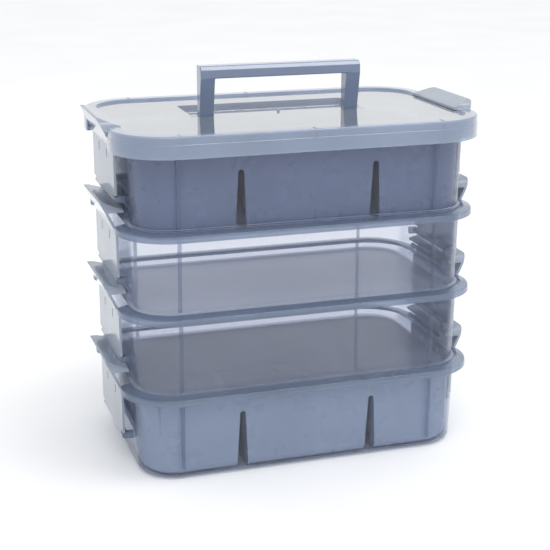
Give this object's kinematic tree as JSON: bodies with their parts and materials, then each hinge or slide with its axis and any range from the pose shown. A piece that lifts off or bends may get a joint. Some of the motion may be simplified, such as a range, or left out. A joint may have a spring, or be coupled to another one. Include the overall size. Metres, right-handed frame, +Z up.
{
  "type": "parts sorting tray",
  "caption": "Stack of clear sorting trays with divided drop-in inserts, a lid with a fold-down carry handle, and hinged end latches that clip each level to the one above.",
  "frame": {"origin": "on the ground, at the middle of the bottom tray", "axes": "+Z up, X along the long side, the front faces -Y, latches at both X ends"},
  "size_m": [0.395, 0.245, 0.4018],
  "materials": {
    "tray_clear": "clear blue-grey tinted moulded plastic",
    "lid_clear": "clear pale moulded plastic, bluer at its thick edges",
    "insert_slate": "opaque slate blue, satin",
    "insert_blue": "opaque blue-grey, satin",
    "latch": "translucent pale grey moulded plastic, glossy",
    "handle": "opaque blue-grey, satin"
  },
  "bodies": {
    "base": {"tray_bottom": "tray_clear"},
    "insert_bottom": {"insert_bottom": "insert_blue"},
    "tray_lower": {"tray_lower": "tray_clear"},
    "tray_upper": {"tray_upper": "tray_clear"},
    "tray_top": {"tray_top": "tray_clear"},
    "insert_top": {"insert_top": "insert_slate"},
    "lid": {"lid": "lid_clear"},
    "handle": {"handle": "handle"},
    "latch_bottom_left": {"latch_bottom_left": "latch"},
    "latch_bottom_right": {"latch_bottom_right": "latch"},
    "latch_lower_left": {"latch_lower_left": "latch"},
    "latch_lower_right": {"latch_lower_right": "latch"},
    "latch_upper_left": {"latch_upper_left": "latch"},
    "latch_upper_right": {"latch_upper_right": "latch"},
    "latch_top_left": {"latch_top_left": "latch"},
    "latch_top_right": {"latch_top_right": "latch"}
  },
  "joints": [
    {"name": "tray_lower_lift", "type": "slide", "parent": "base", "child": "tray_lower", "axis": [0, 0, 1], "range_m": [0, 0.18]},
    {"name": "tray_upper_lift", "type": "slide", "parent": "tray_lower", "child": "tray_upper", "axis": [0, 0, 1], "range_m": [0, 0.12]},
    {"name": "tray_top_lift", "type": "slide", "parent": "tray_upper", "child": "tray_top", "axis": [0, 0, 1], "range_m": [0, 0.12]},
    {"name": "lid_lift", "type": "slide", "parent": "tray_top", "child": "lid", "axis": [0, 0, 1], "range_m": [0, 0.18]},
    {"name": "insert_bottom_lift", "type": "slide", "parent": "base", "child": "insert_bottom", "axis": [0, 0, 1], "range_m": [0, 0.09]},
    {"name": "insert_top_lift", "type": "slide", "parent": "tray_top", "child": "insert_top", "axis": [0, 0, 1], "range_m": [0, 0.09]},
    {"name": "handle_fold", "type": "hinge", "parent": "lid", "child": "handle", "pos_m": [0, -0.002, 0.3478], "axis": [-1, 0, 0], "range_deg": [0, 90]},
    {"name": "latch_bottom_left_swing", "type": "hinge", "parent": "base", "child": "latch_bottom_left", "pos_m": [-0.1805, 0, 0.032], "axis": [0, -1, 0], "range_deg": [0, 28]},
    {"name": "latch_bottom_right_swing", "type": "hinge", "parent": "base", "child": "latch_bottom_right", "pos_m": [0.1805, 0, 0.032], "axis": [0, 1, 0], "range_deg": [0, 28]},
    {"name": "latch_lower_left_swing", "type": "hinge", "parent": "tray_lower", "child": "latch_lower_left", "pos_m": [-0.1805, 0, 0.115], "axis": [0, -1, 0], "range_deg": [0, 28]},
    {"name": "latch_lower_right_swing", "type": "hinge", "parent": "tray_lower", "child": "latch_lower_right", "pos_m": [0.1805, 0, 0.115], "axis": [0, 1, 0], "range_deg": [0, 28]},
    {"name": "latch_upper_left_swing", "type": "hinge", "parent": "tray_upper", "child": "latch_upper_left", "pos_m": [-0.1805, 0, 0.198], "axis": [0, -1, 0], "range_deg": [0, 28]},
    {"name": "latch_upper_right_swing", "type": "hinge", "parent": "tray_upper", "child": "latch_upper_right", "pos_m": [0.1805, 0, 0.198], "axis": [0, 1, 0], "range_deg": [0, 28]},
    {"name": "latch_top_left_swing", "type": "hinge", "parent": "tray_top", "child": "latch_top_left", "pos_m": [-0.1805, 0, 0.281], "axis": [0, -1, 0], "range_deg": [0, 28]},
    {"name": "latch_top_right_swing", "type": "hinge", "parent": "tray_top", "child": "latch_top_right", "pos_m": [0.1805, 0, 0.281], "axis": [0, 1, 0], "range_deg": [0, 28]}
  ],
  "couplings": [
    {"joint": "insert_top_lift", "follows": "lid_lift", "ratio": 0.5},
    {"joint": "insert_bottom_lift", "follows": "tray_lower_lift", "ratio": 0.5}
  ]
}
